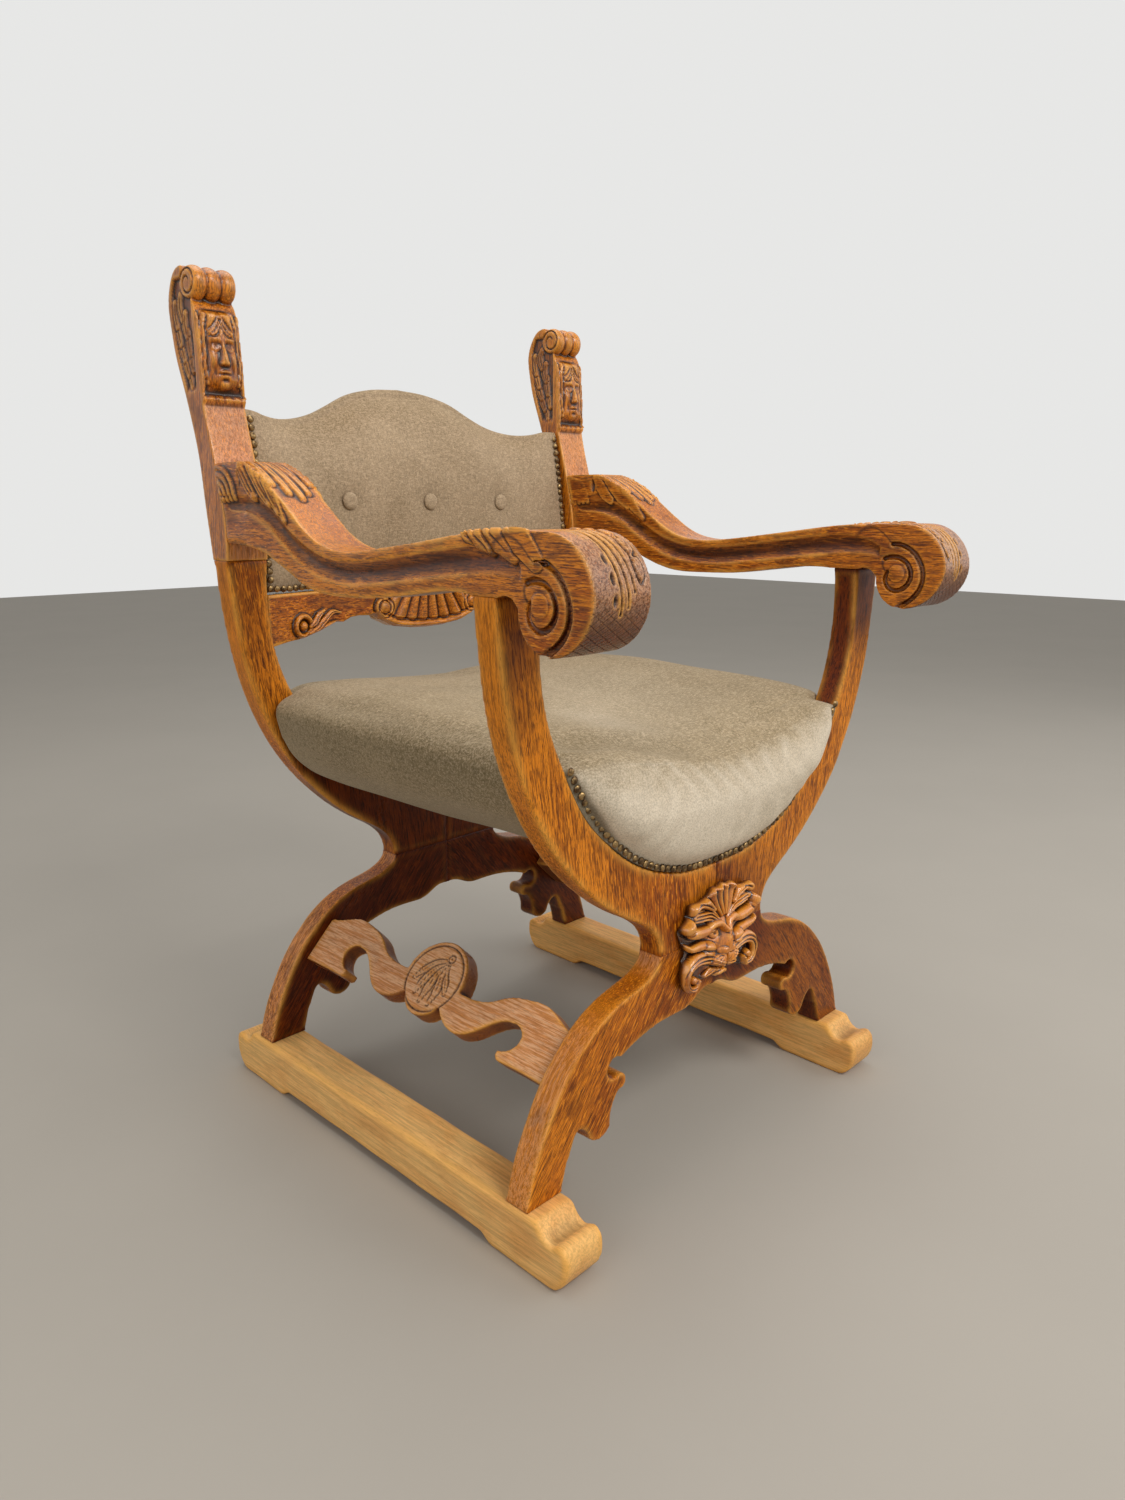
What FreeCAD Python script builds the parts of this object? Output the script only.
import FreeCAD
import Part

import math
import os

# Savonarola armchair. Millimetres, +Z up, front toward -Y, origin at the middle of the floor box.

Vector = FreeCAD.Vector
Rotation = FreeCAD.Rotation
Placement = FreeCAD.Placement

doc = FreeCAD.newDocument("savonarola_chair")
sheet = doc.addObject("Spreadsheet::Sheet", "sizes")

LENGTHS = {
    # frames
    "frame_middle": 26,
    "frame_spread": 501,
    "board_thickness": 31,
    "front_half_width": 325,
    "frame_taper": 15,
    "front_waist": 94.5,
    "rear_waist": 90.2,
    "fork_height": 350,
    "front_arc_top": 660,
    "rear_arc_top": 672,
    "foot_half_width": 295,
    # runners
    "sled_overhang": 56,
    "sled_height": 62,
    "sled_width": 54,
    "sled_edge": 5.5,
    # rear posts
    "post_width": 52,
    "post_height": 320,
    "post_depth": 94,
    "bead_radius": 19,
    "bead_groove": 3.5,
    # arms
    "arm_overhang": 114.5,
    "arm_setback": 12.5,
    "arm_drop": 44,
    "arm_height": 164,
    "arm_spread": 71,
    "arm_rest": 4,
    "volute_depth": 4.5,
    "volute_width": 5.6,
    "cove_radius": 16,
    "cove_depth": 5,
    # stretchers
    "stretcher_depth": 75,
    "stretcher_thickness": 24,
    "roundel_radius": 47,
    # mask
    "mask_half_width": 79,
    "mask_clearance": 21,
    "mask_plate": 8,
    "mask_face": 24,
    # back
    "rail_low": 568,
    "rail_height": 62,
    "rail_thickness": 22,
    "rail_sag": 32,
    "rail_setback": 29.5,
    "shell_depth": 6,
    "pad_edge": 1.2,
    "pad_low": 631,
    "crest_height": 256,
    "pad_setback": 24.5,
    "pad_end_rake": 24,
    "pad_end_depth": 24,
    "crest_rail_low": 776,
    "crest_rail_depth": 10,
    "crest_rail_skin": 4,
    "crest_rail_cover": 16,
    "button_radius": 11,
    "button_height": 5,
    "button_pitch": 128,
    "button_level": 740,
    # seat
    "seat_drop": 12,
    "seat_high": 176,
    "seat_nose": 24,
    "seat_tail": 8,
    "seat_board": 18,
    "seat_board_recess": 9,
    "seat_board_height": 120,
    "seat_rail_width": 24,
    "seat_rail_height": 30,
    "slat_width": 70,
    "slat_thickness": 14,
    "slat_rise": 16,
    "side_slat_rise": 46,
    "webbing": 1.5,
    # fasteners
    "dowel_radius": 5,
    "dowel_length": 56,
    "pin_radius": 2.5,
    "pin_length": 16,
    "screw_radius": 2.2,
    "screw_length": 44,
    "glue_gap": 0.1,
    "end_gap": 1,
    "clearance": 0.3,
}

for line, (name, value) in enumerate(LENGTHS.items(), start=1):
    sheet.set("A" + str(line), name)
    sheet.set("B" + str(line), str(value))
    sheet.setAlias("B" + str(line), name)
doc.recompute()


def size(name):
    return float(sheet.get(name))


# Shares that tie one piece's place to another piece's size.
WAIST_SHARE = 0.76
MASK_LOW_SHARE = 0.603
SLED_CENTRE_SHARE = 0.9203
ARM_CENTRE_SHARE = 0.9155
STRETCHER_EDGE_SHARE = 0.671
STRETCHER_LEVEL_SHARE = 0.686
RAIL_WIDTH_SHARE = 0.845
SEAT_WIDTH_SHARE = 0.806
SEAT_RAIL_SHARE = 0.548
SIDE_SLAT_SHARE = 0.357
CAVITY_REACH_SHARE = 1.01

MIDDLE = size("frame_middle")
BOARD = size("board_thickness")
FRONT_FACE = MIDDLE - size("frame_spread") / 2
REAR_FACE = MIDDLE + size("frame_spread") / 2
FOOT = size("sled_height")
GAP = size("clearance")
FORK = size("fork_height")
WAIST = FORK * WAIST_SHARE
REAR_HALF = size("front_half_width") - size("frame_taper")
MASK_LOW = FORK * MASK_LOW_SHARE
post_inner = REAR_HALF - size("post_width")
arm_low = size("front_arc_top") - size("arm_drop")
seat_board_top = FORK + size("seat_board_height")
seat_rail_inner = size("front_half_width") * SEAT_RAIL_SHARE
side_slat_centre = size("front_half_width") * SIDE_SLAT_SHARE
slat_low = FORK + size("slat_rise")
side_slat_low = FORK + size("side_slat_rise")
mask_high = FORK - size("mask_clearance") - MASK_LOW

# Outlines: x as a share of the half width, z as a share of the board's height.

ARC_OUTER_SHARES = [
    (0.293, 0.02), (0.305, 0.051), (0.357, 0.099), (0.462, 0.152), (0.683, 0.294), (0.8, 0.411),
    (0.892, 0.553), (0.945, 0.68), (0.978, 0.822), (1, 1),
]
ARC_INNER_SHARES = [
    (0.831, 1), (0.838, 0.82), (0.806, 0.62), (0.738, 0.461), (0.658, 0.326),
    (0.529, 0.18), (0.369, 0.071), (0.175, 0.01),
]
LEG_OUTER_SHARES = [
    (0.326, 0.972), (0.353, 0.931), (0.414, 0.892), (0.539, 0.853), (0.644, 0.789), (0.797, 0.608),
    (0.898, 0.397), (0.966, 0.176), (1, 0),
]
LEG_FOOT_SHARES = [(0.834, 0), (0.807, 0.147)]
LEG_NOTCH_SHARES = [(0.807, 0.147), (0.776, 0.235), (0.749, 0.279), (0.722, 0.26), (0.692, 0.191)]
LEG_LOBE_SHARES = [(0.692, 0.191), (0.644, 0.154), (0.583, 0.206)]
LEG_BACK_SHARES = [(0.583, 0.206), (0.576, 0.304), (0.542, 0.375)]
LEG_ROLL_SHARES = [(0.542, 0.375), (0.502, 0.417), (0.549, 0.453)]
LEG_HOLE_SHARES = [(0.549, 0.453), (0.6, 0.495), (0.532, 0.551)]
LEG_CROTCH_SHARES = [
    (0.532, 0.551), (0.437, 0.598), (0.332, 0.623), (0.231, 0.627), (0.136, 0.637),
    (0.058, 0.686), (0, 0.691),
]
LEG_KNEE_SHARE = 0.85

# Runner: y as a share of half the length, z as a share of the height.
SLED_NOSE_SHARES = [
    (0.855, 1), (0.878, 0.9), (0.9, 0.78), (0.92, 0.742), (0.947, 0.79),
]
SLED_TIP_SHARES = [(0.947, 0.79), (0.985, 0.77), (1, 0.6), (0.998, 0.4), (0.982, 0.19), (0.94, 0)]
SLED_PAD_SHARE = 0.645
SLED_RISE_SHARES = (0.6, 0.14)

# Rear post: y from the front of its foot as a share of the depth, z as a share of the height.
POST_FRONT_SHARES = [(0, 0), (0.106, 0.316), (0.234, 0.45), (0.32, 0.556)]
POST_HEAD_SHARES = [(0.32, 0.556), (0.335, 0.7), (0.372, 0.84)]
POST_BROW_SHARES = [(0.372, 0.84), (0.45, 0.885), (0.52, 0.9)]
POST_BACK_SHARES = [
    (0.62, 1), (0.8, 0.988), (0.914, 0.953), (1, 0.881), (0.968, 0.803), (0.894, 0.706),
    (0.787, 0.616), (0.574, 0.428), (0.489, 0.306), (0.415, 0.141), (0.351, 0),
]
POST_SCROLL_SHARES = (0.51, 0.94)

# Arm: y from the scroll's front as a share of the length, z as a share of the height.
ARM_TOP_SHARES = [
    (1, 1), (0.952, 1), (0.89, 0.988), (0.834, 0.921), (0.775, 0.799), (0.709, 0.622),
    (0.644, 0.494), (0.584, 0.451), (0.517, 0.46), (0.434, 0.494), (0.356, 0.53),
    (0.28, 0.567), (0.185, 0.595), (0.083, 0.598),
]
ARM_BROW_SHARES = [(0.083, 0.598), (0.026, 0.51), (0, 0.299)]
ARM_ROLL_SHARES = [(0, 0.299), (0.026, 0.088), (0.083, 0)]
ARM_CHIN_SHARES = [(0.083, 0), (0.125, 0.067), (0.141, 0.22)]
ARM_NECK_SHARES = [(0.141, 0.22), (0.15, 0.256), (0.185, 0.268)]
ARM_UNDER_SHARES = [
    (0.25, 0.268), (0.31, 0.271), (0.384, 0.238), (0.483, 0.195), (0.562, 0.183),
    (0.669, 0.207), (0.735, 0.287), (0.81, 0.396), (0.875, 0.445), (1, 0.47),
]
ARM_WIDTH_SHARES = [(1, 0.36), (0.75, 0.38), (0.5, 0.389), (0.3, 0.41), (0.16, 0.462), (0, 0.478)]
# Volute: eye on the arm's profile, then degrees round it and radius as a share of the height.
VOLUTE_EYE_SHARE = (0.097, 0.25)
VOLUTE_RIM_SHARES = [
    (78, 0.213), (105, 0.2), (131, 0.191), (155, 0.189), (180, 0.197), (211, 0.208), (240, 0.219),
    (266, 0.243),
]
VOLUTE_EYE_SHARES = [
    (46, 0.142), (75, 0.121), (105, 0.109), (142, 0.104), (175, 0.108), (210, 0.113), (240, 0.118),
    (270, 0.124), (296, 0.12), (319, 0.108), (342, 0.09), (363, 0.073),
]
# Cove: place along the arm, level, width of the bar and half width of the arm there.
COVE_SHARES = [
    (0.135, 0.4, 0.5, 0.466), (0.19, 0.45, 0.85, 0.452), (0.28, 0.434, 1, 0.416),
    (0.38, 0.392, 1, 0.4), (0.5, 0.34, 0.95, 0.389), (0.6, 0.335, 0.95, 0.386),
    (0.7, 0.43, 1, 0.382), (0.79, 0.62, 1, 0.378), (0.88, 0.72, 0.8, 0.37), (0.955, 0.73, 0.4, 0.363),
]

# Stretcher: y as a share of half the length, the fall down the slope as a share of the depth.
STRETCHER_TOP_SHARES = [
    (-1, 0.2), (-0.92, 0.147), (-0.78, 0), (-0.65, 0.027), (-0.523, 0.133), (-0.432, 0.293),
    (-0.323, 0.373), (-0.214, 0.387),
]
STRETCHER_LOW_SHARES = [
    (-0.137, 0.693), (-0.177, 0.8), (-0.245, 0.907), (-0.341, 0.933), (-0.414, 0.84),
    (-0.482, 0.667), (-0.564, 0.48), (-0.636, 0.427),
]
STRETCHER_HOOK_SHARES = [(-0.636, 0.427), (-0.7, 0.467), (-0.727, 0.573), (-0.7, 0.773), (-0.636, 0.853)]
STRETCHER_TOE_SHARES = [(-0.636, 0.853), (-0.636, 0.93), (-0.668, 0.987)]
STRETCHER_HEEL_SHARES = [(-0.668, 0.987), (-0.85, 0.985), (-1, 1)]
STRETCHER_SLOPE_DEGREES = 44.3
ROUNDEL_FALL_SHARE = 0.347

# Back rail: x as a share of the half width, z as a share of the height.
RAIL_LOW_SHARES = [
    (1, 0), (0.94, 0.04), (0.88, 0.075), (0.8, 0.1), (0.69, 0.21), (0.59, 0.355), (0.54, 0.34),
    (0.49, 0.42), (0.44, 0.435), (0.38, 0.42), (0.327, 0.46),
]
RAIL_SHELL_SHARES = [(0.327, 0.46), (0.3, 0.3), (0.21, 0.13), (0.1, 0.065), (0, 0.05)]

# Crest of the back: x as a share of the half width, height as a share of the crest height.
CREST_SHARES = [
    (0, 1), (0.19, 0.984), (0.34, 0.945), (0.46, 0.887), (0.56, 0.843), (0.68, 0.812),
    (0.79, 0.803), (0.88, 0.812), (0.95, 0.828), (1, 0.828),
]
# Back pad: height share, then how far front ends, front middle, rear ends and rear middle lean.
PAD_LEAN_SHARES = [
    (0, 0.04, 1.16, 0.04, 1.16), (0.1, 0.08, 0.74, 0.1, 1.2), (0.3, 0.2, 0.36, 0.25, 1.35),
    (0.52, 0.44, 0.32, 0.45, 1.6), (0.75, 0.74, 0.95, 0.72, 2.1), (0.91, 0.95, 2.1, 0.78, 2.55),
    (0.965, 1, 2.85, 0.75, 2.6),
]

# Seat: x and z of the drum's underside and roll, as shares of half width and height.
# The front's underside is slimmer than the rear's, as x and two z shares.
SEAT_ROLL_SHARES = [(1, 1), (1.052, 0.89)]
SEAT_UNDER_SHARES = [
    (1.028, 0.72, 0.69), (0.983, 0.615, 0.565), (0.9, 0.52, 0.437), (0.76, 0.415, 0.312),
    (0.6, 0.278, 0.207), (0.4, 0.128, 0.091), (0.2, 0.023, 0.017), (0, 0, 0),
]
# Each seat section: place along the depth, width share, lift of rim, of shoulder and of middle.
SEAT_SECTION_SHARES = [
    (-1, 0.965, -0.045, -0.045, -0.125),
    (-0.8, 0.985, -0.03, -0.01, -0.09),
    (-0.4, 0.995, -0.01, 0.04, -0.03),
    (0, 1, 0, 0.07, 0),
    (0.5, 1, 0, 0.075, 0),
    (1, 0.965, -0.02, 0.04, -0.02),
]
DISC_CREST_SHARES = [(0.96, 0), (0.7, 0.03), (0.4, -0.02), (0, -0.06)]


def spread(points, half, low, height):
    return [(half * a, low + height * b) for a, b in points]


def curve(points):
    """Line, arc or interpolated curve through two, three or more (u, v) points."""
    places = [Vector(u, v, 0) for u, v in points]
    if len(places) == 2:
        return Part.LineSegment(*places)
    if len(places) == 3:
        return Part.Arc(*places)
    line = Part.BSplineCurve()
    line.interpolate(Points=places)
    return line


def half_curve(points):
    """Curve that ends on the middle line, taken from the curve through its mirror image too."""
    whole = curve(points + [(-u, v) for u, v in reversed(points[:-1])])
    end = whole.parameter(Vector(points[-1][0], points[-1][1], 0))
    whole.segment(whole.FirstParameter, end)
    return whole


def origin_plane(body, role):
    return next(item for item in body.Origin.OriginFeatures if item.Role == role)


def sketch(body, role, name, edges):
    drawn = body.newObject("Sketcher::SketchObject", name)
    drawn.AttachmentSupport = (origin_plane(body, role), "")
    drawn.MapMode = "FlatFace"
    for edge in edges:
        drawn.addGeometry(edge, False)
    return drawn


def padded_body(name, role, edges, length_expression, placement):
    body = doc.addObject("PartDesign::Body", name + "_blank")
    drawn = sketch(body, role, name + "_outline", edges)
    pad = body.newObject("PartDesign::Pad", name + "_pad")
    pad.Profile = drawn
    pad.setExpression("Length", length_expression)
    body.Tip = pad
    body.Placement = placement
    drawn.Visibility = False
    doc.recompute()
    return body, pad


def shape_object(name, shape, placement=None):
    made = doc.addObject("Part::Feature", name)
    made.Shape = shape
    if placement is not None:
        made.Placement = placement
    return made


def box_object(name, length, width, height, corner):
    """Box with expressions for its three sizes and its low corner at a point."""
    made = doc.addObject("Part::Box", name)
    made.setExpression("Length", length)
    made.setExpression("Width", width)
    made.setExpression("Height", height)
    made.Placement = Placement(corner, Rotation())
    return made


def fasteners(name, radius, length, places):
    """Cylinders centred on places along axes, and the same set enlarged for their holes."""
    solids = []
    holes = []
    for number, (centre, axis) in enumerate(places, start=1):
        turn = Rotation(Vector(0, 0, 1), axis)
        for kind, extra_radius, extra_length in (("pin", "", ""), ("hole", " + sizes.glue_gap",
                                                                  " + 2 * sizes.end_gap")):
            item = doc.addObject("Part::Cylinder", name + "_" + kind + str(number))
            item.setExpression("Radius", "sizes." + radius + extra_radius)
            item.setExpression("Height", "sizes." + length + extra_length)
            reach = size(length) / 2
            if kind == "hole":
                reach += size("end_gap")
            item.Placement = Placement(centre - axis * reach, turn)
            if kind == "pin":
                solids.append(item)
            else:
                holes.append(item)
    group = doc.addObject("Part::Compound", name)
    group.Links = solids
    pieces[name] = group
    holes_of[name] = holes
    return group


def place_fasteners(item_places):
    return [(Vector(*centre), Vector(*axis)) for centre, axis in item_places]


def cut_piece(name, blank, tools):
    """Blank less the holes of the named fastener groups and any other tool objects."""
    links = []
    for tool in tools:
        if isinstance(tool, str):
            links.extend(holes_of[tool])
        else:
            links.append(tool)
    if len(links) == 1:
        tool_object = links[0]
    else:
        tool_object = doc.addObject("Part::Compound", name + "_tools")
        tool_object.Links = links
    result = doc.addObject("Part::Cut", name)
    result.Base = blank
    result.Tool = tool_object
    pieces[name] = result
    return result


pieces = {}
holes_of = {}
SIDES = (("left", -1), ("right", 1))
X_AXIS = (1, 0, 0)
Y_AXIS = (0, 1, 0)
Z_AXIS = (0, 0, 1)

# Fasteners
front_mid = FRONT_FACE + BOARD / 2
rear_mid = REAR_FACE - BOARD / 2
waist_places = (0.27, 0.73)


def frame_dowel_places(depth, waist):
    found = []
    for side in (-1, 1):
        for share in waist_places:
            found.append(((side * waist * share, depth, WAIST), Z_AXIS))
    for share in (0.3, 0.72):
        level = WAIST + (FORK - WAIST) * share
        found.append(((0, depth, level), X_AXIS))
    found.append(((0, depth, WAIST - (WAIST - FOOT) * 0.2), X_AXIS))
    return place_fasteners(found)


fasteners("front_frame_dowels", "dowel_radius", "dowel_length",
          frame_dowel_places(front_mid, size("front_waist")))
fasteners("rear_frame_dowels", "dowel_radius", "dowel_length",
          frame_dowel_places(rear_mid, size("rear_waist")))

foot_span = size("foot_half_width")
fasteners("foot_dowels", "dowel_radius", "dowel_length", place_fasteners([
    ((side * foot_span * share, depth, FOOT), Z_AXIS)
    for side in (-1, 1) for depth in (front_mid, rear_mid) for share in (0.885, 0.955)]))

arm_seat = size("front_half_width") * ARM_CENTRE_SHARE
post_mid = post_inner + size("post_width") / 2
post_front = REAR_FACE - BOARD
rear_joint = arm_low + size("arm_height") * 0.72
fasteners("arm_dowels", "dowel_radius", "dowel_length", place_fasteners(
    [((side * arm_seat, front_mid, size("front_arc_top")), Z_AXIS) for side in (-1, 1)]
    + [((side * post_mid, post_front + size("post_depth") * 0.07, rear_joint), Y_AXIS)
       for side in (-1, 1)]))
fasteners("post_dowels", "dowel_radius", "dowel_length", place_fasteners([
    ((side * (post_inner + size("post_width") * share), rear_mid + BOARD * 0.03,
      size("rear_arc_top")), Z_AXIS)
    for side in (-1, 1) for share in (0.27, 0.73)]))

slope = math.radians(STRETCHER_SLOPE_DEGREES)
fall = size("stretcher_depth")
stretch_half = size("frame_spread") / 2 - BOARD
stretcher_edge = size("foot_half_width") * STRETCHER_EDGE_SHARE
stretcher_level = FOOT + (WAIST - FOOT) * STRETCHER_LEVEL_SHARE
inset = size("stretcher_thickness") / 2


def stretcher_point(side, along, share, depth):
    """Point of the stretcher: along y, fall share down the slope, depth inward."""
    down = fall * share - fall * 0.24
    across = stretcher_edge + down * math.cos(slope) - depth * math.sin(slope)
    level = stretcher_level - down * math.sin(slope) - depth * math.cos(slope)
    return (side * across, MIDDLE + along, level)


fasteners("stretcher_dowels", "dowel_radius", "dowel_length", place_fasteners([
    (stretcher_point(side, end * stretch_half, share, inset), Y_AXIS)
    for side in (-1, 1) for end in (-1, 1) for share in (0.42, 0.78)]))

rail_half = REAR_HALF * RAIL_WIDTH_SHARE
rail_end = REAR_FACE - size("rail_setback")
rail_end_mid = rail_end + size("rail_thickness") / 2
fasteners("back_rail_dowels", "dowel_radius", "dowel_length", place_fasteners([
    ((side * rail_half * 0.985, rail_end_mid + size("rail_thickness") * 0.06,
      size("rail_low") + size("rail_height") * 0.55), X_AXIS)
    for side in (-1, 1)]))

fasteners("mask_pins", "pin_radius", "pin_length", place_fasteners([
    ((side * size("mask_half_width") * 0.42, FRONT_FACE,
      MASK_LOW + mask_high * share), Y_AXIS)
    for side, share in ((-1, 0.4), (1, 0.4))]))

board_front = FRONT_FACE + size("seat_board_recess")
board_rear = REAR_FACE - size("seat_board_recess") - size("seat_board")
seat_rail_mid = seat_rail_inner + size("seat_rail_width") / 2
seat_rail_level = seat_board_top - size("webbing") - size("seat_rail_height") / 2
slat_level = slat_low + size("slat_thickness") / 2
side_slat_level = side_slat_low + size("slat_thickness") / 2
screw_mids = (board_front + size("screw_length") / 2,
              board_rear + size("seat_board") - size("screw_length") / 2)
fasteners("seat_screws", "screw_radius", "screw_length", place_fasteners([
    ((x, depth, z), Y_AXIS) for depth in screw_mids for x, z in (
        (-seat_rail_mid, seat_rail_level), (seat_rail_mid, seat_rail_level),
        (-side_slat_centre, side_slat_level), (side_slat_centre, side_slat_level),
        (0, slat_level))]))

# Boards of the two X frames
FRAMES = {
    "front": (size("front_half_width"), size("front_waist"), size("front_arc_top"),
              FRONT_FACE + BOARD),
    "rear": (REAR_HALF, size("rear_waist"), size("rear_arc_top"), REAR_FACE),
}


def arc_inner(half, top):
    points = spread(ARC_INNER_SHARES, half, FORK, top - FORK)
    return points + [(0, FORK)]


def arc_edges(side, half, waist, top):
    outer = [(waist, WAIST)] + spread(ARC_OUTER_SHARES, half, WAIST, top - WAIST)
    inner = arc_inner(half, top)
    outer = [(side * x, z) for x, z in outer]
    inner = [(side * x, z) for x, z in inner]
    crown = [outer[-1], inner[0]]
    return [
        curve(outer),
        curve(crown),
        half_curve(inner),
        curve([inner[-1], (0, WAIST)]),
        curve([(0, WAIST), outer[0]]),
    ]


def leg_edges(side, waist):
    height = WAIST - FOOT
    half = size("foot_half_width")
    shift = waist - size("front_waist")

    def place(points):
        found = []
        for a, b in points:
            lean = max(0, (b - LEG_KNEE_SHARE) / (1 - LEG_KNEE_SHARE))
            found.append((side * (half * a + shift * lean), FOOT + height * b))
        return found

    outer = [(side * waist, WAIST)] + place(LEG_OUTER_SHARES)
    foot = place(LEG_FOOT_SHARES)
    crotch = place(LEG_CROTCH_SHARES)
    return [
        curve(outer),
        curve([outer[-1], foot[0]]),
        curve(foot),
        curve(place(LEG_NOTCH_SHARES)),
        curve(place(LEG_LOBE_SHARES)),
        curve(place(LEG_BACK_SHARES)),
        curve(place(LEG_ROLL_SHARES)),
        curve(place(LEG_HOLE_SHARES)),
        half_curve(crotch),
        curve([crotch[-1], (0, WAIST)]),
        curve([(0, WAIST), outer[0]]),
    ]


arc_blanks = {}
for frame, (half, waist, top, back) in FRAMES.items():
    stand = Placement(Vector(0, back, 0), Rotation())
    for word, side in SIDES:
        arc_name = frame + "_arc_" + word
        leg_name = frame + "_leg_" + word
        blank, pad = padded_body(arc_name, "XZ_Plane", arc_edges(side, half, waist, top),
                                 "sizes.board_thickness", stand)
        arc_blanks[arc_name] = blank
        tools = [frame + "_frame_dowels"]
        if frame == "front":
            tools += ["arm_dowels", "mask_pins"]
        else:
            tools += ["post_dowels", "back_rail_dowels"]
        cut_piece(arc_name, blank, tools)
        blank, pad = padded_body(leg_name, "XZ_Plane", leg_edges(side, waist),
                                 "sizes.board_thickness", stand)
        tools = [frame + "_frame_dowels", "foot_dowels", "stretcher_dowels"]
        if frame == "front":
            tools.append("mask_pins")
        cut_piece(leg_name, blank, tools)

# Runners
sled_half = size("frame_spread") / 2 + size("sled_overhang")
sled_centre = size("foot_half_width") * SLED_CENTRE_SHARE
sled_high = size("sled_height")


def sled_edges():
    edges = []
    for end in (-1, 1):
        nose = [(MIDDLE + end * sled_half * a, sled_high * b) for a, b in SLED_NOSE_SHARES]
        tip = [(MIDDLE + end * sled_half * a, sled_high * b) for a, b in SLED_TIP_SHARES]
        pad_end = (MIDDLE + end * sled_half * SLED_PAD_SHARE, 0)
        rise = (MIDDLE + end * sled_half * SLED_RISE_SHARES[0], sled_high * SLED_RISE_SHARES[1])
        edges += [curve(nose), curve(tip), curve([tip[-1], pad_end]), curve([pad_end, rise])]
        if end == -1:
            low = rise
            high = nose[0]
        else:
            edges += [curve([low, rise]), curve([high, nose[0]])]
    return edges


for word, side in SIDES:
    name = "sled_" + word
    corner = Vector(side * sled_centre - size("sled_width") / 2, 0, 0)
    blank, pad = padded_body(name, "YZ_Plane", sled_edges(), "sizes.sled_width",
                             Placement(corner, Rotation()))
    chosen = []
    for number, edge in enumerate(pad.Shape.Edges, start=1):
        points = [vertex.Point for vertex in edge.Vertexes]
        if len(points) == 2 and abs(points[0].z - sled_high) < GAP and abs(points[1].z - sled_high) < GAP:
            if abs(points[0].y - points[1].y) > sled_high:
                chosen.append("Edge" + str(number))
    rounded = blank.newObject("PartDesign::Fillet", name + "_arris")
    rounded.Base = (pad, chosen)
    rounded.setExpression("Radius", "sizes.sled_edge")
    blank.Tip = rounded
    doc.recompute()
    cut_piece(name, blank, ["foot_dowels"])

# Stretchers
def stretcher_edges():
    def place(points, end):
        return [(end * -1 * stretch_half * a, fall * b) for a, b in points]

    radius = size("roundel_radius")
    level = fall * ROUNDEL_FALL_SHARE
    edges = []
    ends = {}
    for end in (-1, 1):
        top = place(STRETCHER_TOP_SHARES, end)
        low = place(STRETCHER_LOW_SHARES, end)
        hook = place(STRETCHER_HOOK_SHARES, end)
        toe = place(STRETCHER_TOE_SHARES, end)
        heel = place(STRETCHER_HEEL_SHARES, end)
        edges += [curve(top), curve(low), curve(hook), curve(toe), curve(heel),
                  curve([heel[-1], top[0]])]
        ends[end] = (top[-1], low[0])
    edges.append(curve([ends[-1][0], (0, level - radius), ends[1][0]]))
    edges.append(curve([ends[-1][1], (0, level + radius), ends[1][1]]))
    return edges


for word, side in SIDES:
    name = "stretcher_" + word
    along = Vector(0, side, 0)
    down = Vector(side * math.cos(slope), 0, -math.sin(slope))
    inward = along.cross(down)
    start = Vector(*stretcher_point(side, 0, 0, 0))
    turn = Rotation(along, down, inward, "XYZ")
    blank, pad = padded_body(name, "XY_Plane", stretcher_edges(), "sizes.stretcher_thickness",
                             Placement(start, turn))
    cut_piece(name, blank, ["stretcher_dowels"])

# Rear posts
post_base = size("rear_arc_top")
post_high = size("post_height")
post_deep = size("post_depth")


def post_places(points):
    return [(post_front + post_deep * a, post_base + post_high * b) for a, b in points]


def post_edges():
    front = post_places(POST_FRONT_SHARES)
    head = post_places(POST_HEAD_SHARES)
    brow = post_places(POST_BROW_SHARES)
    back = post_places(POST_BACK_SHARES)
    return [curve(front), curve(head), curve(brow), curve([brow[-1], back[0]]), curve(back),
            curve([back[-1], front[0]])]


post_solids = {}
for word, side in SIDES:
    name = "rear_post_" + word
    corner = Vector(side * post_mid - size("post_width") / 2, 0, 0)
    blank, pad = padded_body(name, "YZ_Plane", post_edges(), "sizes.post_width",
                             Placement(corner, Rotation()))
    # Three beads of the scroll, turned about the scroll's own axis.
    (scroll_y, scroll_z), = post_places([POST_SCROLL_SHARES])
    bead = size("bead_radius")
    groove = size("bead_groove")
    width = size("post_width") / 3
    runs = []
    for number in range(3):
        left = width * number
        runs.append(Part.Arc(Vector(left, bead - groove, 0), Vector(left + width / 2, bead, 0),
                             Vector(left + width, bead - groove, 0)).toShape())
    ring = Part.Wire(runs + Part.makePolygon([
        Vector(3 * width, bead - groove, 0), Vector(3 * width, 0, 0), Vector(0, 0, 0),
        Vector(0, bead - groove, 0)]).Edges)
    scroll = Part.Face(ring).revolve(Vector(0, 0, 0), Vector(1, 0, 0), 360)
    scroll.translate(Vector(corner.x, scroll_y, scroll_z))
    bead_object = shape_object(name + "_beads", scroll)
    joined = doc.addObject("Part::Fuse", name + "_carved")
    joined.Base = blank
    joined.Tool = bead_object
    post_solids[word] = joined

# Arms
arm_start = FRONT_FACE - size("arm_overhang")
arm_long = REAR_FACE - size("arm_setback") - arm_start


def arm_places(points):
    return [(arm_start + arm_long * a, arm_low + size("arm_height") * b) for a, b in points]


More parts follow.
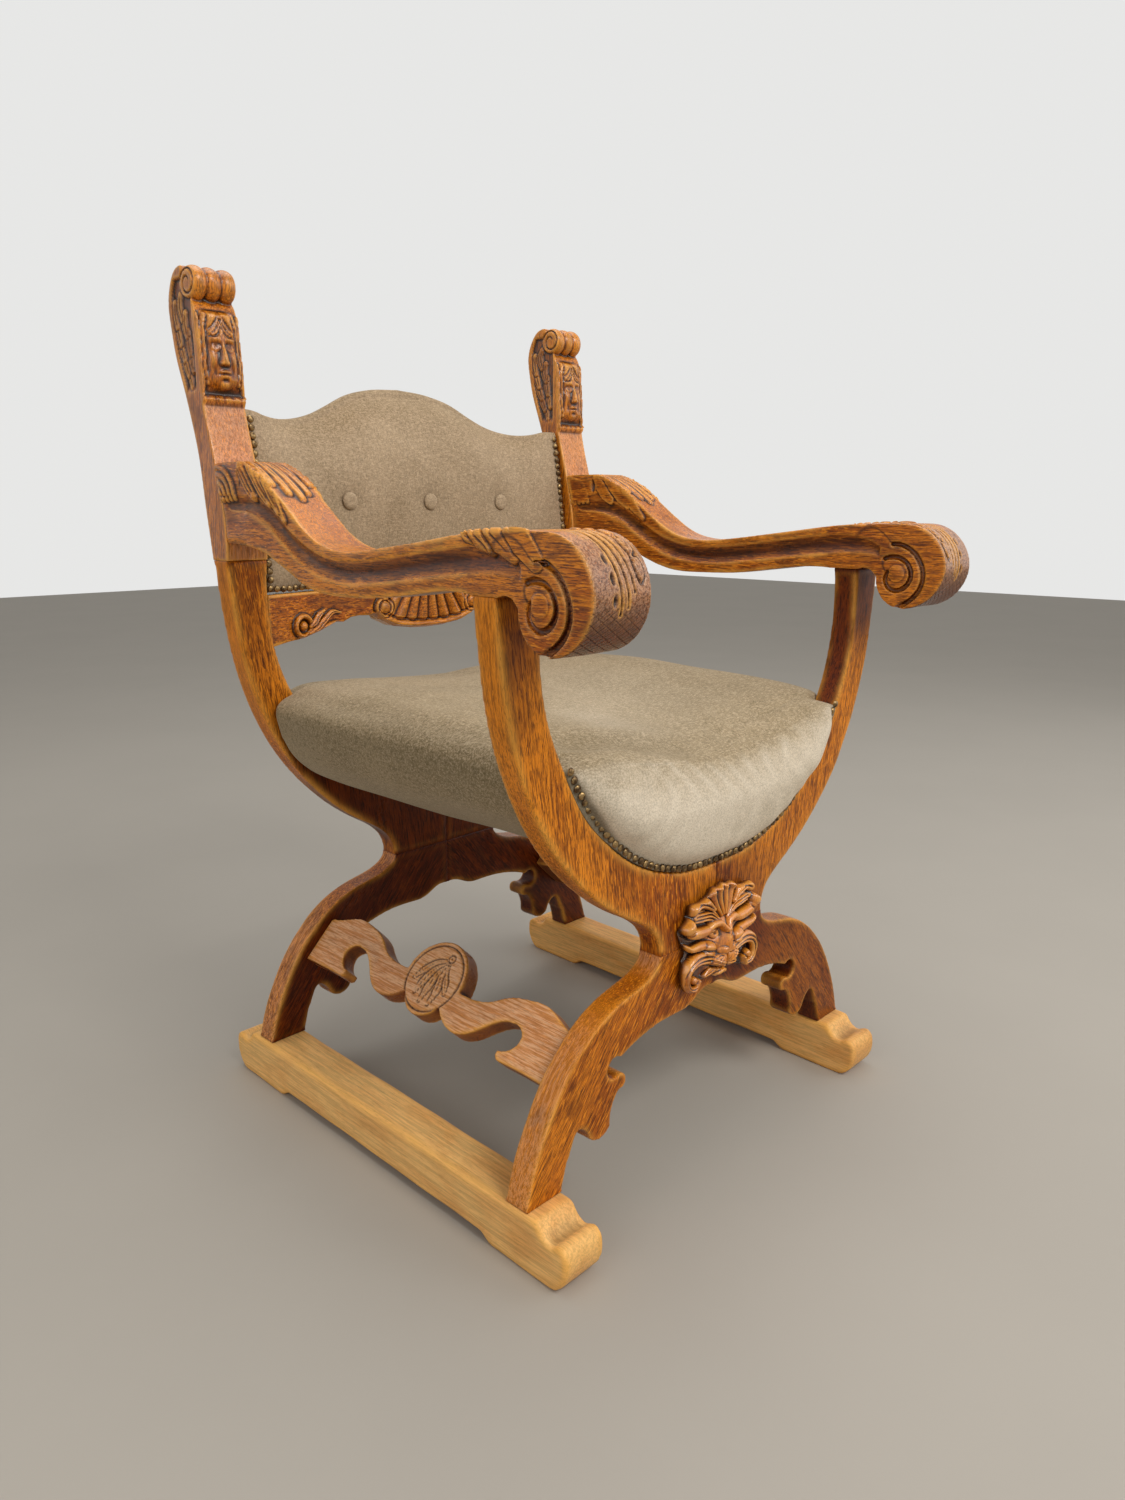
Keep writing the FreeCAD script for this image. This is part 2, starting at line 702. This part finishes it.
def arm_edges():
    seat_level = size("front_arc_top")
    top = arm_places(ARM_TOP_SHARES)
    brow = arm_places(ARM_BROW_SHARES)
    roll = arm_places(ARM_ROLL_SHARES)
    chin = arm_places(ARM_CHIN_SHARES)
    neck = arm_places(ARM_NECK_SHARES)
    under = arm_places(ARM_UNDER_SHARES)
    neck[-1] = (FRONT_FACE - size("arm_rest"), seat_level)
    under[0] = (FRONT_FACE + BOARD + size("arm_rest"), seat_level)
    return [
        curve(top), curve(brow), curve(roll),
        curve(chin), curve(neck), curve([neck[-1], under[0]]), curve(under),
        curve([under[-1], top[0]]),
    ]


def arm_centre(share):
    return post_mid + (arm_seat - post_mid) * (1 - share)


def arm_plan_edges(side):
    def place(across):
        return [(side * (arm_centre(a) + across * size("arm_spread") * b), arm_start + arm_long * a)
                for a, b in ARM_WIDTH_SHARES]

    inner = place(-1)
    outer = place(1)
    return [curve(inner), curve(outer), curve([inner[0], outer[0]]), curve([inner[-1], outer[-1]])]


def spiral_groove(table, face_x, depth):
    """Band that follows a spiral in the arm's side face, sunk to both sides of that face."""
    (eye_y, eye_z), = arm_places([VOLUTE_EYE_SHARE])
    wall = size("volute_width") / 2

    def line(offset):
        points = []
        for degrees, share in table:
            radius = size("arm_height") * share + offset
            turn = math.radians(degrees)
            points.append(Vector(face_x - depth, eye_y + radius * math.cos(turn),
                                 eye_z + radius * math.sin(turn)))
        return points

    outer, inner = line(wall), line(-wall)
    middle = line(0)
    edges = []
    for points in (outer, inner):
        spiral = Part.BSplineCurve()
        spiral.interpolate(Points=points)
        edges.append(spiral.toShape())
    for end, before in ((0, 1), (-1, -2)):
        beyond = (middle[end] - middle[before]).normalize() * wall
        edges.append(Part.Arc(outer[end], middle[end] + beyond, inner[end]).toShape())
    band = Part.Face(Part.Wire(Part.__sortEdges__(edges)))
    return band.extrude(Vector(2 * depth, 0, 0))


def cove_tool(side, across):
    """Round bar along the middle of the arm's side face, which cuts the hollow moulding."""
    rounds = []
    for along, level, width, share in COVE_SHARES:
        radius = size("cove_radius") * width
        face_x = arm_centre(along) + across * size("arm_spread") * share
        reach = across * (radius - size("cove_depth") * width)
        (y, z), = arm_places([(along, level)])
        centre = Vector(side * (face_x + reach), y, z)
        rounds.append(Part.Wire(Part.makeCircle(radius, centre, Vector(0, 1, 0))))
    return Part.makeLoft(rounds, True, False)


for word, side in SIDES:
    name = "arm_" + word
    corner = Vector(side * arm_centre(0.5) - size("arm_spread"), 0, 0)
    blank, pad = padded_body(name, "YZ_Plane", arm_edges(), "2 * sizes.arm_spread",
                             Placement(corner, Rotation()))
    plan = doc.addObject("Sketcher::SketchObject", name + "_plan")
    for edge in arm_plan_edges(side):
        plan.addGeometry(edge, False)
    doc.recompute()
    tall = shape_object(name + "_plan_solid", Part.Face(Part.Wire(Part.__sortEdges__(
        plan.Shape.Edges))).extrude(Vector(0, 0, arm_low + 2 * size("arm_height"))))
    shaped = doc.addObject("Part::Common", name + "_shaped")
    shaped.Base = blank
    shaped.Tool = tall
    # Spiral grooves of the volute and the hollow moulding, in both side faces.
    groove_tools = []
    for across in (-1, 1):
        face_x = side * (arm_centre(0.1) + across * size("arm_spread") * 0.47)
        for table in (VOLUTE_RIM_SHARES, VOLUTE_EYE_SHARES):
            groove = spiral_groove(table, face_x, size("volute_depth"))
            groove_tools.append(shape_object(name + "_carving" + str(len(groove_tools)), groove))
        cove = cove_tool(side, across)
        groove_tools.append(shape_object(name + "_carving" + str(len(groove_tools)), cove))
    cut_piece(name, shaped, ["arm_dowels", post_solids[word]] + groove_tools)

# Lion mask on the front crossing
mask_half = size("mask_half_width")
MASK_OUTLINE_SHARES = [
    (0, 1), (0.3, 0.96), (0.52, 0.84), (0.78, 0.8), (0.86, 0.62), (1, 0.48), (0.82, 0.3),
    (0.95, 0.12), (0.7, 0), (0.45, 0.1), (0.2, 0.04), (0, 0.12),
]
mask_points = [(mask_half * a, MASK_LOW + mask_high * b) for a, b in MASK_OUTLINE_SHARES]
mask_edges = []
for side in (-1, 1):
    mask_edges.append(curve([(side * x, z) for x, z in mask_points]))
mask_blank, mask_pad = padded_body("lion_mask", "XZ_Plane", mask_edges, "sizes.mask_plate",
                                   Placement(Vector(0, FRONT_FACE, 0), Rotation()))


def mask_place(a, b):
    return Vector(mask_half * a, FRONT_FACE - size("mask_plate"), MASK_LOW + mask_high * b)


mask_forms = []
proud = size("mask_face") - size("mask_plate")


def dome(centre, half_width, half_height, depth):
    """Half-round boss: a unit sphere stretched and set at a point of the mask's face."""
    matrix = FreeCAD.Matrix()
    matrix.scale(half_width, depth, half_height)
    ball = Part.makeSphere(1).transformGeometry(matrix)
    ball.translate(centre)
    return ball


mask_forms.append(dome(mask_place(0, 0.5), mask_half * 0.48, mask_high * 0.34, proud * 0.8))
mask_forms.append(dome(mask_place(0, 0.37), mask_half * 0.15, mask_high * 0.11, proud))
for side in (-1, 1):
    for a, b, reach in ((0.84, 0.1, 0.14), (0.3, 0.22, 0.12)):
        centre = mask_place(side * a, b)
        mask_forms.append(Part.makeCylinder(mask_half * reach, proud * 0.35, centre, Vector(0, -1, 0)))
LOBE_SHARES = [
    (0, 0.7, 0, 0.93), (0.14, 0.68, 0.24, 0.9), (-0.14, 0.68, -0.24, 0.9), (0.28, 0.64, 0.45, 0.8),
    (-0.28, 0.64, -0.45, 0.8), (0.42, 0.5, 0.82, 0.55), (-0.42, 0.5, -0.82, 0.55),
]
for a, b, c, d in LOBE_SHARES:
    foot = mask_place(a, b)
    tip = mask_place(c, d)
    mask_forms.append(Part.makeCone(mask_half * 0.04, mask_half * 0.075, (tip - foot).Length,
                                    foot, tip - foot))
    mask_forms.append(Part.makeSphere(mask_half * 0.085, tip))
front_half = Part.makeBox(4 * mask_half, 2 * size("mask_face"), 3 * mask_high,
                          Vector(-2 * mask_half, FRONT_FACE - 2 * size("mask_face"),
                                 MASK_LOW - mask_high))
relief = mask_forms[0].multiFuse(mask_forms[1:]).common(front_half)
mask_relief = shape_object("lion_mask_relief", relief)
mask_whole = doc.addObject("Part::Fuse", "lion_mask_carved")
mask_whole.Base = mask_blank
mask_whole.Tool = mask_relief
cut_piece("lion_mask", mask_whole, ["mask_pins"])


# Curved back
def sagged(x, half, end, sag):
    return end + sag * (1 - (x / half) ** 2)


def plan_band(half, end, sag, thickness, low, height):
    """Curved band in plan, between two parallel sagging lines, extruded upward."""
    lines = []
    for depth in (0, thickness):
        points = [Vector(half * share, sagged(half * share, half, end + depth, sag), low)
                  for share in (-1, -0.66, -0.33, 0, 0.33, 0.66, 1)]
        line = Part.BSplineCurve()
        line.interpolate(Points=points)
        lines.append(line.toShape())
    sides = [Part.LineSegment(lines[0].Vertexes[0].Point, lines[1].Vertexes[0].Point).toShape(),
             Part.LineSegment(lines[0].Vertexes[-1].Point, lines[1].Vertexes[-1].Point).toShape()]
    wire = Part.Wire(Part.__sortEdges__(lines + sides))
    return Part.Face(wire).extrude(Vector(0, 0, height))


def rail_face_solid(edges, depth_from, depth):
    """Outline in the XZ plane extruded along Y from a given depth."""
    shapes = [edge.toShape() for edge in edges]
    wire = Part.Wire(Part.__sortEdges__(shapes))
    face = Part.Face(wire)
    face.rotate(Vector(0, 0, 0), Vector(1, 0, 0), 90)
    face.translate(Vector(0, depth_from, 0))
    return face.extrude(Vector(0, depth, 0))


rail_top = size("rail_low") + size("rail_height")
rail_edges = []
for side in (-1, 1):
    low = [(side * rail_half * a, size("rail_low") + size("rail_height") * b) for a, b in RAIL_LOW_SHARES]
    shell = [(side * rail_half * a, size("rail_low") + size("rail_height") * b)
             for a, b in RAIL_SHELL_SHARES]
    rail_edges += [curve(low), curve(shell), curve([low[0], (side * rail_half, rail_top)])]
rail_edges.append(curve([(-rail_half, rail_top), (rail_half, rail_top)]))
rail_outline = rail_face_solid(rail_edges, 0, 2 * REAR_FACE)
rail_band = plan_band(rail_half, rail_end, size("rail_sag"), size("rail_thickness"), 0, 2 * rail_top)
rail_solid = rail_outline.common(rail_band)
shell_forms = []
shell_centre = Vector(0, 0, rail_top)
shell_band = plan_band(rail_half, rail_end - size("shell_depth"), size("rail_sag"),
                       2 * size("shell_depth"), 0, 2 * rail_top)
RIB_SHARES = (-72, -48, -24, 0, 24, 48, 72)
for degrees in RIB_SHARES:
    lean = math.radians(degrees)
    reach = rail_half * 0.31 * (1 - 0.42 * math.cos(lean))
    foot = Vector(0, sagged(0, rail_half, rail_end, size("rail_sag")), rail_top - size("rail_height") * 0.12)
    direction = Vector(math.sin(lean), 0, -math.cos(lean))
    tip_x = direction.x * reach
    tip = Vector(tip_x, sagged(tip_x, rail_half, rail_end, size("rail_sag")), foot.z + direction.z * reach)
    shell_forms.append(Part.makeCone(size("shell_depth") * 0.35, size("shell_depth") * 1.15,
                                     (tip - foot).Length, foot, tip - foot))
for side in (-1, 1):
    for a, b, reach in ((0.29, 0.62, 1.7), (0.85, 0.36, 2.4), (0.6, 0.5, 1.4)):
        x = side * rail_half * a
        centre = Vector(x, sagged(x, rail_half, rail_end, size("rail_sag")) + size("shell_depth"),
                        size("rail_low") + size("rail_height") * b)
        shell_forms.append(Part.makeCylinder(size("shell_depth") * reach, 1.6 * size("shell_depth"),
                                             centre, Vector(0, -1, 0)))
rail_solid = rail_solid.multiFuse(shell_forms)
rail_blank = shape_object("back_rail_blank", rail_solid)
cut_piece("back_rail", rail_blank, ["back_rail_dowels", arc_blanks["rear_arc_left"],
                                    arc_blanks["rear_arc_right"]])

pad_half = post_inner - size("pad_edge")
pad_low = size("pad_low")
crest = size("crest_height")
pad_end = REAR_FACE - size("pad_setback")
rake = size("pad_end_rake")


def crest_at(share):
    """Height share of the crest at a share of the half width."""
    share = abs(share)
    for (a, b), (c, d) in zip(CREST_SHARES, CREST_SHARES[1:]):
        if share <= c:
            part = (share - a) / (c - a)
            part = part * part * (3 - 2 * part) * 0.5 + part * 0.5
            return b + (d - b) * part
    return CREST_SHARES[-1][1]


def pad_depths(share, level):
    """Depths of the pad's front and rear at a width share and a level of the lean table."""
    weight = 1 - abs(share) ** 2.6
    height, front_end, front_middle, rear_end, rear_middle = level
    front = pad_end + rake * (front_end * (1 - weight) + front_middle * weight)
    rear = pad_end + rake * (rear_end * (1 - weight) + rear_middle * weight)
    return front, rear + size("pad_end_depth")


def pad_level(share, z):
    """Row of the lean table for a height, between the rows below and above it."""
    height = (z - pad_low) / (crest * crest_at(share))
    for first, second in zip(PAD_LEAN_SHARES, PAD_LEAN_SHARES[1:]):
        if height <= second[0]:
            part = (height - first[0]) / (second[0] - first[0])
            return [a + (b - a) * part for a, b in zip(first, second)]
    return PAD_LEAN_SHARES[-1]


def pad_section(share):
    x = pad_half * share
    tall = crest * crest_at(share)
    front = []
    back = []
    for level in PAD_LEAN_SHARES:
        near, far = pad_depths(share, level)
        front.append(Vector(x, near, pad_low + tall * level[0]))
        back.append(Vector(x, far, pad_low + tall * level[0]))
    back.reverse()
    top = Vector(x, (front[-1].y + back[0].y) / 2, pad_low + tall)
    front_line = Part.BSplineCurve()
    front_line.interpolate(Points=front)
    top_line = Part.Arc(front[-1], top, back[0])
    back_line = Part.BSplineCurve()
    back_line.interpolate(Points=back)
    return Part.Wire([front_line.toShape(), top_line.toShape(), back_line.toShape(),
                      Part.LineSegment(back[-1], front[0]).toShape()])


PAD_SECTION_SHARES = (0, 0.19, 0.34, 0.46, 0.6, 0.79, 0.9, 1)
section_shares = [-a for a in reversed(PAD_SECTION_SHARES[1:])] + list(PAD_SECTION_SHARES)
pad_solid = Part.makeLoft([pad_section(share) for share in section_shares], True, False)

# Rail inside the crest: it follows the back of the pad.
rail_thick = size("crest_rail_depth")


def crest_rail_section(share, grow):
    """Section of the rail, a little inside the pad's rear, at a share of the pad's half width."""
    bounded = max(-1, min(1, share))
    low = size("crest_rail_low")
    high = pad_low + crest * crest_at(bounded) - size("crest_rail_cover")
    places = []
    for z, lift, order in ((low, -grow, 1), (high, grow, -1)):
        rear = pad_depths(bounded, pad_level(bounded, z))[1] - size("crest_rail_skin")
        pair = [Vector(pad_half * share, rear - rail_thick - grow, z + lift),
                Vector(pad_half * share, rear + grow, z + lift)]
        places += pair[::order]
    return Part.makePolygon(places + [places[0]])


def crest_rail_solid(grow, reach):
    shares = [share * reach for share in section_shares]
    return Part.makeLoft([crest_rail_section(share, grow) for share in shares], True, False)


pad_cavity = crest_rail_solid(GAP, CAVITY_REACH_SHARE)
back_pad_shape = pad_solid.cut(pad_cavity)
button_seats = []
for number in (-1, 0, 1):
    share = size("button_pitch") * number / pad_half
    seat_depth = pad_depths(share, pad_level(share, size("button_level")))[0]
    button_seats.append(Vector(size("button_pitch") * number, seat_depth, size("button_level")))
button_tools = []
for number, seat in enumerate(button_seats):
    made = doc.addObject("Part::Cylinder", "back_button" + str(number))
    made.setExpression("Radius", "sizes.button_radius")
    made.setExpression("Height", "sizes.button_height")
    made.Placement = Placement(seat + Vector(0, size("button_height") * 0.8, 0),
                               Rotation(Vector(0, 0, 1), Vector(0, -1, 0)))
    button_tools.append(made)
    hole = Part.makeCylinder(size("button_radius") + GAP, 4 * size("button_height"),
                             seat + Vector(0, size("button_height") * 0.8 + GAP, 0), Vector(0, -1, 0))
    back_pad_shape = back_pad_shape.cut(hole)
buttons = doc.addObject("Part::Compound", "back_buttons")
buttons.Links = button_tools
pieces["back_buttons"] = buttons
pieces["back_pad"] = shape_object("back_pad", back_pad_shape)
rail_level = size("crest_rail_low") + rail_thick * 2
rail_rear = pad_depths(1, pad_level(1, rail_level))[1] - size("crest_rail_skin")
fasteners("crest_rail_pins", "pin_radius", "pin_length", place_fasteners([
    ((side * post_inner, rail_rear - rail_thick / 2, rail_level), X_AXIS)
    for side in (-1, 1)]))
crest_blank = shape_object("back_crest_rail_blank",
                           crest_rail_solid(0, post_inner / pad_half))
cut_piece("back_crest_rail", crest_blank, ["crest_rail_pins"])
for word, side in SIDES:
    cut_piece("rear_post_" + word, post_solids[word], ["post_dowels", "arm_dowels",
                                                       "crest_rail_pins"])

# Seat
depth_half = size("frame_spread") / 2 - BOARD - GAP
seat_half = size("front_half_width") * SEAT_WIDTH_SHARE
seat_low = FORK - size("seat_drop")
seat_high = size("seat_high")


def seat_wire(along, wide, rim, shoulder, middle):
    y = MIDDLE + depth_half * along

    def place(a, b):
        return Vector(seat_half * a * wide, y, seat_low + seat_high * b)

    lift = (1 - wide) * 0.5
    rearward = (1 + along) / 2
    under = []
    for a, front, rear in SEAT_UNDER_SHARES:
        b = front + (rear - front) * rearward
        under.append(place(a, b + lift * (1 - b)))
    base = SEAT_UNDER_SHARES[0][1]
    roll = [place(a, b + rim * (b - base) / (1 - base) + lift * (1 - b))
            for a, b in SEAT_ROLL_SHARES] + under[:1]
    crown = [place(1, 1 + rim), place(0.78, 1 + shoulder), place(0.42, 1 + (shoulder + middle) / 2),
             place(0, 1 + middle)]
    crown = crown + [Vector(-p.x, p.y, p.z) for p in reversed(crown[:-1])]
    under_full = under + [Vector(-p.x, p.y, p.z) for p in reversed(under[:-1])]
    left_roll = [Vector(-p.x, p.y, p.z) for p in reversed(roll)]
    top_line = Part.BSplineCurve()
    top_line.interpolate(Points=list(reversed(crown)))
    under_line = Part.BSplineCurve()
    under_line.interpolate(Points=under_full)
    edges = [top_line.toShape(), Part.Arc(*roll).toShape(), under_line.toShape(),
             Part.Arc(*left_roll).toShape()]
    return Part.Wire(edges)


drum = Part.makeLoft([seat_wire(*section) for section in SEAT_SECTION_SHARES], True, False)


def disc_wire(half, top, y, scale, high_share, inset):
    """Filling of the U at a depth: inner edge of the frame below, crown of the seat above."""
    centre_z = seat_board_top - size("seat_board")
    rim_z = seat_low + seat_high * high_share
    width_at = None
    full = arc_inner(half, top)
    for (x1, z1), (x2, z2) in zip(full, full[1:]):
        if z2 <= rim_z <= z1:
            width_at = x2 + (x1 - x2) * ((rim_z - z2) / (z1 - z2))
    inner = [(width_at, rim_z)] + [p for p in full if p[1] < rim_z - size("seat_board") / 2]

    def place(x, z):
        shrink = 1 - inset / half
        return Vector(x * shrink * scale, y, centre_z + (z - centre_z) * scale
                      + (inset if z < centre_z else 0))

    lower = [place(x, z) for x, z in inner]
    lower_full = lower + [Vector(-p.x, p.y, p.z) for p in reversed(lower[:-1])]
    low_line = Part.BSplineCurve()
    low_line.interpolate(Points=lower_full)
    crown = [place(width_at, rim_z)] + [place(width_at * a, rim_z + seat_high * b)
                                        for a, b in DISC_CREST_SHARES]
    crown = crown[:1] + crown[2:]
    crown_full = crown + [Vector(-p.x, p.y, p.z) for p in reversed(crown[:-1])]
    top_line = Part.BSplineCurve()
    top_line.interpolate(Points=crown_full)
    return Part.Wire([low_line.toShape(), top_line.toShape()])


def disc(half, top, face, inward, bulge, high_share):
    """Plug that fills one frame's U and swells past its outer face."""
    inset = GAP * 3
    outward = -inward
    steps = [(inward * (BOARD + bulge * 0.1), 1), (inward * BOARD * 0.5, 1), (0, 0.995),
             (outward * bulge * 0.4, 0.97), (outward * bulge * 0.75, 0.91),
             (outward * bulge * 0.94, 0.78), (outward * bulge, 0.55)]
    wires = [disc_wire(half, top, face + offset, scale, high_share, inset) for offset, scale in steps]
    return Part.makeLoft(wires, True, False)


front_plug = disc(size("front_half_width"), size("front_arc_top"), FRONT_FACE, 1,
                  size("seat_nose"), 0.93)
rear_plug = disc(REAR_HALF, size("rear_arc_top"), REAR_FACE, -1,
                 size("seat_tail"), 0.97)
seat_shape = drum.multiFuse([front_plug, rear_plug])


def seat_board_face(half, top, grow):
    full = arc_inner(half, top)
    level = seat_board_top + grow
    lower = [p for p in full if p[1] < level]
    above = [p for p in full if p[1] >= level][-1]
    first = lower[0]
    part = (level - first[1]) / (above[1] - first[1])
    corner = (first[0] + (above[0] - first[0]) * part, level)
    points = [corner] + lower
    points = points + [(-x, z) for x, z in reversed(points[:-1])]
    places = [Vector(x, 0, z) for x, z in points]
    line = Part.BSplineCurve()
    line.interpolate(Points=places)
    wire = Part.Wire([line.toShape(), Part.LineSegment(places[-1], places[0]).toShape()])
    return Part.Face(wire)


inner_solids = []
for word, half, top, start in (
        ("front", size("front_half_width"), size("front_arc_top"), board_front),
        ("rear", REAR_HALF, size("rear_arc_top"), board_rear)):
    face = seat_board_face(half, top, 0)
    board = face.extrude(Vector(0, size("seat_board"), 0))
    board.translate(Vector(0, start, 0))
    blank = shape_object("seat_board_" + word + "_blank", board)
    cut_piece("seat_board_" + word, blank, ["seat_screws", arc_blanks[word + "_arc_left"],
                                            arc_blanks[word + "_arc_right"]])
    tool = Part.makeBox(4 * half, size("seat_board") + 2 * GAP, seat_board_top + GAP,
                        Vector(-2 * half, start - GAP, 0))
    keep = Part.makeBox(4 * half, BOARD + size("seat_board"), 2 * seat_board_top,
                        Vector(-2 * half, FRONT_FACE - size("seat_board") if word == "front"
                               else REAR_FACE - BOARD, 0))
    inner_solids.append(tool.common(keep))

rail_long = board_rear - board_front - size("seat_board")
rail_start = board_front + size("seat_board")


def seat_member(name, centre_x, low, width, height, width_alias, height_alias, with_screws=True):
    corner = Vector(centre_x - width / 2, rail_start, low)
    made = box_object(name + "_blank", width_alias,
                      "sizes.frame_spread - 2 * sizes.seat_board_recess - 2 * sizes.seat_board",
                      height_alias, corner)
    grown = Part.makeBox(width + 2 * GAP, rail_long, height + 2 * GAP,
                         corner - Vector(GAP, 0, GAP))
    inner_solids.append(grown)
    if with_screws:
        cut_piece(name, made, ["seat_screws"])
    else:
        pieces[name] = made
    return made


seat_rail_low = seat_board_top - size("webbing") - size("seat_rail_height")
for word, side in SIDES:
    seat_member("seat_rail_" + word, side * seat_rail_mid, seat_rail_low, size("seat_rail_width"),
                size("seat_rail_height"), "sizes.seat_rail_width", "sizes.seat_rail_height")
    seat_member("seat_slat_" + word, side * side_slat_centre, side_slat_low,
                size("slat_width"), size("slat_thickness"), "sizes.slat_width",
                "sizes.slat_thickness")
seat_member("seat_slat_centre", 0, slat_low, size("slat_width"), size("slat_thickness"),
            "sizes.slat_width", "sizes.slat_thickness")
web_half = seat_rail_inner + size("seat_rail_width")
seat_member("seat_webbing", 0, seat_board_top - size("webbing"), 2 * web_half,
            size("webbing"), "2 * (sizes.front_half_width * " + str(SEAT_RAIL_SHARE)
            + " + sizes.seat_rail_width)", "sizes.webbing", False)
seat_shape = seat_shape.cut(inner_solids[0].multiFuse(inner_solids[1:]))
pieces["seat_pad"] = shape_object("seat_pad", seat_shape)

doc.recompute()

# Labels, checks and files
os.makedirs("parts", exist_ok=True)
faults = []
for item in doc.Objects:
    if "Invalid" in item.State or "Error" in item.State:
        faults.append(item.Name + " " + str(item.State))
for name, item in pieces.items():
    if item.Name != name:
        item.Label = name
    if item.Shape.isNull() or not item.Shape.isValid():
        faults.append(name + " shape")
    if item.Shape.Volume <= 0:
        faults.append(name + " volume")
if faults:
    raise RuntimeError("faulty objects: " + "; ".join(faults))
for name, item in pieces.items():
    item.Shape.exportStep("parts/" + name + ".step")
    box = item.Shape.BoundBox
    print("%-22s solids %d  x %.1f..%.1f  y %.1f..%.1f  z %.1f..%.1f" % (
        name, len(item.Shape.Solids), box.XMin, box.XMax, box.YMin, box.YMax, box.ZMin, box.ZMax))
